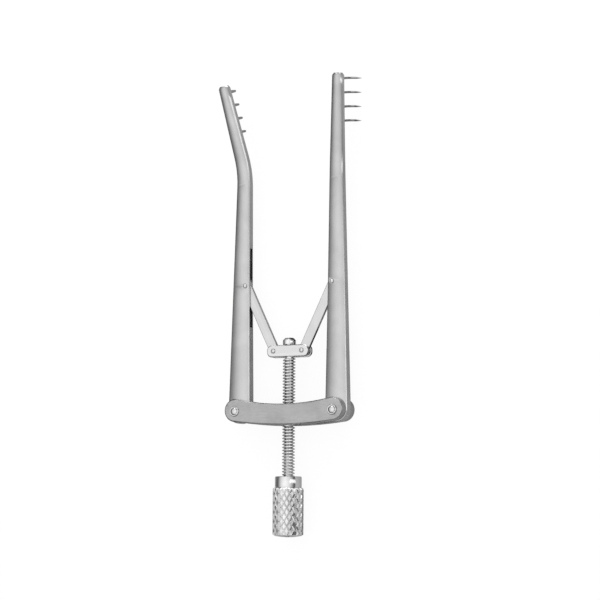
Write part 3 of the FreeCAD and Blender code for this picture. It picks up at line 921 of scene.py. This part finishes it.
@dataclass
class Thumbscrew:
    """The threaded screw, its cap, the knurled knob and the pin that holds the knob."""

    shop: Workshop
    pitch: float = 0.65 * MM
    crest: float = 1.4 * MM
    root: float = 0.93 * MM
    crest_flat: float = 0.12 * MM
    root_flat: float = 0.12 * MM
    turn_steps: int = 48
    lead_in: float = 1.5
    spare_turns: int = 3
    thread_stop: float = 0.12 * MM
    thread_turn: float = 25.0
    core_swell: float = 0.02 * MM
    core_taper: float = 0.1 * MM
    core_sides: int = 48
    yoke_gap: float = 0.08 * MM
    journal: float = 0.72 * MM
    journal_bevel: tuple[float, float] = (0.03 * MM, 0.05 * MM)
    stem: float = 1.15 * MM
    small_edge: float = 0.06 * MM
    collar_radius: float = 2.88 * MM
    collar_length: float = 2.3 * MM
    collar_bevel: float = 0.2 * MM
    bevel_shares: tuple[float, float] = (0.35, 0.3)
    collar_lip: float = 0.05 * MM
    collar_overlap: float = 0.1 * MM
    collar_sides: int = 96
    collar_turn: float = 30.0
    grip_radius: float = 3.34 * MM
    grip_bevel: float = 0.4 * MM
    knurl_depth: float = 0.36 * MM
    knurl_round: int = 18
    knurl_rows: int = 5
    knurl_flat: float = 0.19 * MM
    knurl_turn: float = 12.0
    end_crown: float = 0.25 * MM
    end_step: float = 0.15 * MM
    end_shares: tuple[float, float] = (0.995, 0.93)
    crown_shares: tuple[tuple[float, float], ...] = ((0.25, 0.5), (0.0, 0.08))
    axis_z: float = field(init=False)
    collar_face: float = field(init=False)
    shoulder: float = field(init=False)

    def __post_init__(self) -> None:
        """Takes the height of the screw's axis and the places of its collar and shoulder from the frame."""
        low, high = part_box("lead_screw")
        self.axis_z = (low.z + high.z) / 2
        self.collar_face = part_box("thumb_knob")[1].y
        self.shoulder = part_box("yoke")[0].y - self.yoke_gap

    @property
    def valley(self) -> float:
        """Radius of the knurl's valleys."""
        return self.grip_radius - self.knurl_depth

    def build(self) -> None:
        """Builds and dresses the thumbscrew's pieces."""
        self.screw()
        self.shop.soften_node("screw_cap", "thumbscrew", self.small_edge)
        self.knob()
        self.shop.soften_node("knob_pin", "thumbscrew", self.small_edge)

    def along_y(self, start: float, forward: float = 1.0) -> Matrix:
        """Frame on the screw's axis whose Z runs along Y.

        Args:
            start: Where it stands along Y.
            forward: 1 to run towards the tips, and -1 towards the knob's end.

        Returns:
            The frame.
        """
        return axis_place(Vector((0, start, self.axis_z)), Vector((0, forward, 0)))

    def screw(self) -> None:
        """Builds the screw: its core with journal and stem, and the thread wound on it."""
        low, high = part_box("lead_screw")
        start, stop, end = (place - low.y for place in (self.collar_face, self.shoulder, high.y))
        along, inward = self.journal_bevel
        core = turned("screw_core", [
            Station(0, self.stem),
            Station(start, self.stem),
            Station(start, self.root + self.core_swell),
            Station(stop, self.root - self.core_taper),
            Station(stop, self.journal),
            Station(end - along, self.journal),
            Station(end, self.journal - inward),
        ], self.along_y(low.y), self.core_sides)
        piece = join([core, self.thread()], "threaded_screw")
        smooth(piece, self.thread_turn)
        self.shop.finish_piece(piece, "thumbscrew", "lead_screw")

    def thread(self) -> bpy.types.Object:
        """Winds one turn's profile along the screw and cuts it square at both ends.

        Returns:
            The thread as a closed shell.
        """
        rise = (self.pitch - self.crest_flat - self.root_flat) / 2
        trace = [(0, self.root_flat / 2), (self.crest - self.root, rise), (0, self.crest_flat),
                 (self.root - self.crest, rise), (0, self.root_flat / 2)]
        bpy.ops.mesh.primitive_plane_add(size=self.pitch)
        piece = added("screw_thread")
        with editing(piece):
            bpy.ops.mesh.select_all(action="SELECT")
            bpy.ops.mesh.merge(type="CENTER")
            bpy.ops.transform.translate(value=(self.root, 0, 0))
            for outward, forward in trace:
                bpy.ops.mesh.extrude_region_move(TRANSFORM_OT_translate={"value": (outward, forward, 0)})
        length = self.shoulder - self.collar_face
        wind = piece.modifiers.new("wind", "SCREW")
        wind.axis = "Y"
        wind.screw_offset = self.pitch
        wind.iterations = math.ceil(length / self.pitch) + self.spare_turns
        wind.steps = self.turn_steps
        wind.render_steps = self.turn_steps
        wind.use_merge_vertices = True
        wind.merge_threshold = WELD
        apply_modifiers(piece)
        settle(piece, Matrix.Translation((0, self.collar_face - self.lead_in * self.pitch, self.axis_z)))
        with editing(piece):
            for end, outward in ((self.collar_face, -1), (self.shoulder - self.thread_stop, 1)):
                cut((0, end, self.axis_z), (0, outward, 0), clear=True)
            bpy.ops.mesh.select_all(action="SELECT")
            bpy.ops.mesh.remove_doubles(threshold=WELD)
            bpy.ops.mesh.fill_holes(sides=0)
            face_outward()
        return piece

    def knob(self) -> None:
        """Builds the knob: a turned collar and the knurled grip behind it."""
        grip_length = self.collar_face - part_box("thumb_knob")[0].y - self.collar_length
        bevel, radius, length = self.collar_bevel, self.collar_radius, self.collar_length
        along, inward = (bevel * share for share in self.bevel_shares)
        collar = turned("knob_collar", [
            Station(0, self.stem),
            Station(0, radius - bevel),
            Station(along, radius - inward),
            Station(bevel, radius),
            Station(length - self.collar_lip, radius),
            Station(length + self.collar_overlap, radius - self.collar_lip),
            Station(length + self.collar_overlap, self.stem),
        ], self.along_y(self.collar_face, -1), self.collar_sides)
        smooth(collar, self.collar_turn)
        piece = join([collar, self.grip(grip_length)], "knurled_knob")
        self.shop.finish_piece(piece, "thumbscrew", "thumb_knob")

    def grip(self, length: float) -> bpy.types.Object:
        """Cuts the diamond knurl: a ring of quads is turned into diamonds, each raised to a small flat.

        Args:
            length: Length of the grip.

        Returns:
            The grip, in place.
        """
        band = length - 2 * self.grip_bevel
        bpy.ops.mesh.primitive_cylinder_add(vertices=self.knurl_round, radius=self.valley, depth=band)
        piece = added("knob_grip")
        settle(piece, Matrix.Translation((0, 0, length / 2)))
        with editing(piece):
            self.cut_rows(length, band)
            self.turn_to_diamonds(piece)
            pick_faces(piece, lambda normal: abs(normal.z) < SIDEWAYS)
            bpy.ops.mesh.inset(thickness=self.knurl_flat, depth=self.knurl_depth, use_individual=True)
            self.close_end(piece, length, -1)
            self.close_end(piece, length, 1)
            face_outward()
        smooth(piece, self.knurl_turn)
        return settle(piece, self.along_y(self.collar_face - self.collar_length, -1))

    def cut_rows(self, length: float, band: float) -> None:
        """Cuts the side of the grip, which is in edit mode, into rows of quads.

        Args:
            length: Length of the grip.
            band: Length of its knurled part.
        """
        for row in range(1, self.knurl_rows):
            height = (length - band) / 2 + band * row / self.knurl_rows
            cut((0, 0, height), (0, 0, 1))

    def turn_to_diamonds(self, piece: bpy.types.Object) -> None:
        """Gives each side quad a middle point and clears the quad's own edges, which leaves diamonds.

        Args:
            piece: The grip in edit mode.
        """
        pick_faces(piece, lambda normal: abs(normal.z) < SIDEWAYS)
        mesh = bmesh.from_edit_mesh(piece.data)
        old = [edge for edge in mesh.edges if all(face.select for face in edge.link_faces)]
        keys = {tuple(sorted(vertex.index for vertex in edge.verts)) for edge in old}
        mesh.verts.index_update()
        corners = len(mesh.verts)
        bpy.ops.mesh.poke()
        mesh = bmesh.from_edit_mesh(piece.data)
        mesh.verts.index_update()
        for vertex in mesh.verts:
            if vertex.index >= corners:
                flat = Vector((vertex.co.x, vertex.co.y, 0))
                vertex.co += flat.normalized() * (self.valley - flat.length)
        gone = [edge for edge in mesh.edges if tuple(sorted(vertex.index for vertex in edge.verts)) in keys]
        bmesh.ops.dissolve_edges(mesh, edges=gone, use_verts=False)
        bmesh.update_edit_mesh(piece.data)

    def close_end(self, piece: bpy.types.Object, length: float, outward: int) -> None:
        """Bevels one end of the grip and closes it with its face, crowned at the far end.

        Args:
            piece: The grip in edit mode.
            length: Length of the grip.
            outward: 1 for the far end, and -1 for the one at the collar.
        """
        pick_faces(piece, lambda normal: normal.z * outward > ENDWAYS)
        end, crown = (length, self.end_crown) if outward > 0 else (0.0, 0.0)
        rings = [Station(end - outward * self.grip_bevel, self.valley)]
        for step, share in zip((crown + self.end_step, crown), self.end_shares):
            rings.append(Station(end - outward * step, self.valley * share))
        if crown:
            rings += [Station(end - crown * down, self.valley * wide) for down, wide in self.crown_shares]
        draw_out(rings)


@dataclass(frozen=True)
class Softbox:
    """A soft rectangular lamp: where it hangs, its two sides, and how bright it looks, where 1 is white."""

    name: str
    place: tuple[float, float, float]
    size: tuple[float, float]
    radiance: float


@dataclass(frozen=True)
class Card:
    """A black card on the floor, given by the places of its four edges."""

    name: str
    left: float
    right: float
    near: float
    far: float


SOFTBOXES = (
    Softbox("overhead", (-0.16, 0.08, 0.42), (0.5, 0.4), 0.06),
    Softbox("right_strip", (0.45, 0.05, 0.22), (0.5, 0.12), 0.95),
    Softbox("tip_strip", (0.0, 0.5, 0.26), (0.6, 0.22), 2.2),
)
CARDS = (
    Card("outer_card", -60 * MM, -17 * MM, -41 * MM, 89 * MM),
    Card("inner_card", -2 * MM, 6.5 * MM, 16 * MM, 89 * MM),
    Card("yoke_card", 4.6 * MM, 9 * MM, 7 * MM, 17 * MM),
)


@dataclass
class Studio:
    """White ground, soft light and the camera of the photograph."""

    turn: float = math.radians(25.63)
    tilt: float = math.radians(-7.12)
    roll: float = math.radians(0.469)
    distance: float = 350.0 * MM
    target: Vector = field(default_factory=lambda: Vector((0, 22.5 * MM, 3.25 * MM)))
    pixels_per_metre: float = 4585.0
    target_pixel: tuple[float, float] = (289.9, 308.04)
    sensor: float = 36.0
    floor_size: float = 3.0
    clip_start: float = 0.01
    floor_drop: float = 0.02 * MM
    floor_tones: tuple[float, float] = (0.86, 0.5)
    floor_glow: float = 1.03
    floor_glow_share: float = 0.9
    sky_heights: tuple[float, float] = (0.25, 0.98)
    sky_glow: tuple[float, float] = (0.1, 1.0)
    fill_glow: float = 0.85
    card_lift: float = 0.01 * MM
    card_tone: float = 0.01

    def build(self) -> None:
        """Sets up the floor, the world, the lights, the dark cards and the camera."""
        self.floor()
        self.world()
        for softbox in SOFTBOXES:
            self.hang(softbox)
        self.cards()
        self.camera()

    def floor(self) -> None:
        """Lays a white floor that keeps a faint shadow and is darker in reflections."""
        bpy.ops.mesh.primitive_plane_add(size=self.floor_size, location=(0, 0, -self.floor_drop))
        floor = added("studio_floor")
        material = bpy.data.materials.new("white_ground")
        material.use_nodes = True
        tree = NodeTree(material.node_tree)
        path = tree.add("ShaderNodeLightPath")
        matte = tree.add("ShaderNodeBsdfDiffuse")
        tree.link(tree.spread(path.outputs["Is Glossy Ray"], (0, 1), self.floor_tones), matte.inputs["Color"])
        glow = tree.add("ShaderNodeEmission")
        glow.inputs["Strength"].default_value = self.floor_glow
        share = tree.math("MULTIPLY", path.outputs["Is Camera Ray"], self.floor_glow_share)
        ground = tree.mix(share, matte.outputs["BSDF"], glow.outputs["Emission"])
        tree.link(ground, tree.add("ShaderNodeOutputMaterial").inputs["Surface"])
        floor.data.materials.append(material)

    def world(self) -> None:
        """Fills the room with soft light, paler overhead and darker towards the horizon in reflections."""
        world = bpy.data.worlds.new("studio_world")
        bpy.context.scene.world = world
        world.use_nodes = True
        tree = NodeTree(world.node_tree)
        path = tree.add("ShaderNodeLightPath")
        split = tree.add("ShaderNodeSeparateXYZ")
        tree.link(tree.add("ShaderNodeTexCoord").outputs["Generated"], split.inputs["Vector"])
        room, fill, white = [tree.add("ShaderNodeBackground") for _ in range(3)]
        for background in (room, fill, white):
            background.inputs["Color"].default_value = (1, 1, 1, 1)
        tree.link(tree.spread(split.outputs["Z"], self.sky_heights, self.sky_glow), room.inputs["Strength"])
        fill.inputs["Strength"].default_value = self.fill_glow
        room, fill, white = (background.outputs["Background"] for background in (room, fill, white))
        light = tree.mix(path.outputs["Is Glossy Ray"], fill, room)
        seen = tree.mix(path.outputs["Is Camera Ray"], light, white)
        tree.link(seen, tree.add("ShaderNodeOutputWorld").inputs["Surface"])

    def hang(self, softbox: Softbox) -> None:
        """Hangs a lamp that faces the middle of the instrument.

        Args:
            softbox: The lamp's place, sides and brightness.
        """
        lamp = bpy.data.lights.new(softbox.name, "AREA")
        lamp.shape = "RECTANGLE"
        lamp.size, lamp.size_y = softbox.size
        lamp.energy = softbox.radiance * math.pi * lamp.size * lamp.size_y
        place = Vector(softbox.place)
        placed(softbox.name, lamp).matrix_world = axis_place(place, place - self.target)

    def cards(self) -> None:
        """Lays black cards on the floor that only reflections show, for dark lines along the left edges."""
        black = bpy.data.materials.new("black_card")
        black.use_nodes = True
        paint = black.node_tree.nodes["Principled BSDF"].inputs
        paint["Base Color"].default_value = (self.card_tone,) * 3 + (1,)
        paint["Roughness"].default_value = 1.0
        for card in CARDS:
            bpy.ops.mesh.primitive_plane_add(size=1.0)
            sheet = added(card.name)
            spot = Vector(((card.left + card.right) / 2, (card.near + card.far) / 2, self.card_lift))
            sides = Matrix.Diagonal((card.right - card.left, card.far - card.near, 1, 1))
            settle(sheet, Matrix.Translation(spot) @ sides)
            sheet.data.materials.append(black)
            sheet.visible_camera = False
            sheet.visible_diffuse = False
            sheet.visible_shadow = False

    def camera(self) -> None:
        """Stands the camera where the photograph was taken from."""
        back = Vector((math.sin(self.turn) * math.cos(self.tilt), math.sin(self.tilt),
                       math.cos(self.turn) * math.cos(self.tilt)))
        level = Vector((math.cos(self.turn), 0, -math.sin(self.turn)))
        upright = back.cross(level)
        right = level * math.cos(self.roll) + upright * math.sin(self.roll)
        up = upright * math.cos(self.roll) - level * math.sin(self.roll)
        data = bpy.data.cameras.new("photo_camera")
        data.sensor_width = self.sensor
        data.lens = self.pixels_per_metre * self.distance * self.sensor / IMAGE_SIDE
        data.shift_x = (IMAGE_SIDE / 2 - self.target_pixel[0]) / IMAGE_SIDE
        data.shift_y = (self.target_pixel[1] - IMAGE_SIDE / 2) / IMAGE_SIDE
        data.clip_start = self.clip_start
        camera = placed("photo_camera", data)
        turn = Matrix((right, up, back)).transposed().to_4x4()
        camera.matrix_world = Matrix.Translation(self.target + back * self.distance) @ turn
        bpy.context.scene.camera = camera


def main() -> None:
    """Builds the pieces in order, then the studio."""
    logging.basicConfig(level=logging.INFO, format="%(message)s")
    bpy.context.scene.view_settings.view_transform = "Standard"
    shop = Workshop()
    Crossbar(shop).build()
    Arms(shop).build()
    Linkage(shop).build()
    Thumbscrew(shop).build()
    Studio().build()


if __name__ == "__main__":
    main()
